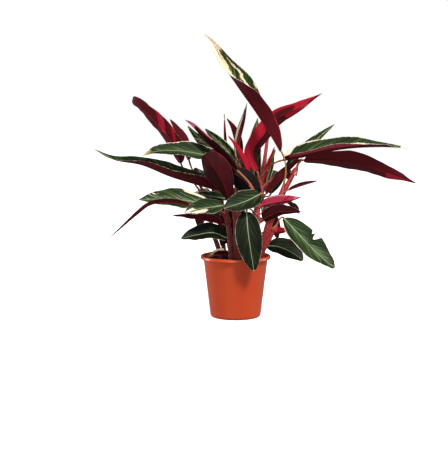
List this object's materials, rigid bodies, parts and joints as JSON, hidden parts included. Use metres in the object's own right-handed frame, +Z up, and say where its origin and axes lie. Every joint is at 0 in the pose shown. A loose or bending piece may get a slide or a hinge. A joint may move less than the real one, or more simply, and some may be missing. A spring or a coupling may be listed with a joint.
{
  "type": "stromanthe triostar",
  "caption": "Potted prayer plant with long green, cream and burgundy leaves on red stalks, in a round terracotta-coloured nursery pot.",
  "frame": {"origin": "centre of the flat underside of the pot, on the surface it stands on", "axes": "+Z up along the pot's axis, +X towards the plant's right with the longest leaves, -Y towards its front, where a leaf hangs over the rim"},
  "size_m": [0.7755, 0.3358, 0.6765],
  "materials": {
    "pot": "satin",
    "soil": "matte",
    "stalk": "satin",
    "leaf_green": "satin",
    "leaf_variegated": "satin",
    "leaf_burgundy": "satin",
    "leaf_crimson": "satin",
    "leaf_dry": "matte"
  },
  "bodies": {
    "root": {"pot": "pot", "soil": "soil", "shoot_front_left": "stalk", "shoot_front_centre": "stalk", "shoot_front_right": "stalk", "shoot_right": "stalk", "shoot_low_right": "stalk", "shoot_left": "stalk", "shoot_centre": "stalk", "shoot_back_left": "stalk", "shoot_back_centre": "stalk", "shoot_back_right": "stalk", "leaf_spire": "leaf_variegated", "leaf_crimson_right": "leaf_crimson", "leaf_rolled_crimson": "leaf_crimson", "leaf_burgundy_left": "leaf_burgundy", "leaf_green_left": "leaf_green", "leaf_broad_burgundy": "leaf_burgundy", "leaf_long_left": "leaf_burgundy", "leaf_pink_roll": "leaf_burgundy", "leaf_greygreen_roll": "leaf_green", "leaf_greygreen_upper": "leaf_green", "leaf_spike": "leaf_burgundy", "leaf_young_burgundy": "leaf_burgundy", "leaf_upright_roll": "leaf_variegated", "leaf_behind_centre": "leaf_green", "leaf_slim_crimson": "leaf_crimson", "leaf_long_right": "leaf_green", "leaf_pale_behind": "leaf_green", "leaf_drooping_right": "leaf_burgundy", "leaf_centre_right": "leaf_burgundy", "leaf_thin_spike": "leaf_burgundy", "leaf_hot_pink": "leaf_crimson", "leaf_dark_burgundy": "leaf_burgundy", "leaf_low_right": "leaf_green", "leaf_low_right_behind": "leaf_green", "leaf_front_hanging": "leaf_green", "leaf_front_centre": "leaf_green", "leaf_wide_left": "leaf_variegated", "leaf_whip": "leaf_burgundy", "leaf_front_left": "leaf_variegated", "leaf_dark_centre": "leaf_green", "leaf_low_burgundy": "leaf_burgundy", "leaf_low_left": "leaf_green", "leaf_withered": "leaf_dry", "leaf_small_crimson": "leaf_crimson", "leaf_striped_centre": "leaf_variegated", "leaf_inner_burgundy": "leaf_burgundy", "leaf_burgundy_behind": "leaf_burgundy", "leaf_dark_inner": "leaf_burgundy", "leaf_back_left": "leaf_green", "leaf_back_high": "leaf_green", "leaf_back_right": "leaf_green", "leaf_back_low_left": "leaf_green", "leaf_back_low_right": "leaf_green", "leaf_back_hanging": "leaf_green", "leaf_back_side_right": "leaf_green", "leaf_back_side_left": "leaf_variegated", "leaf_back_mid_left": "leaf_green", "leaf_back_mid_right": "leaf_variegated"}
  },
  "joints": []
}
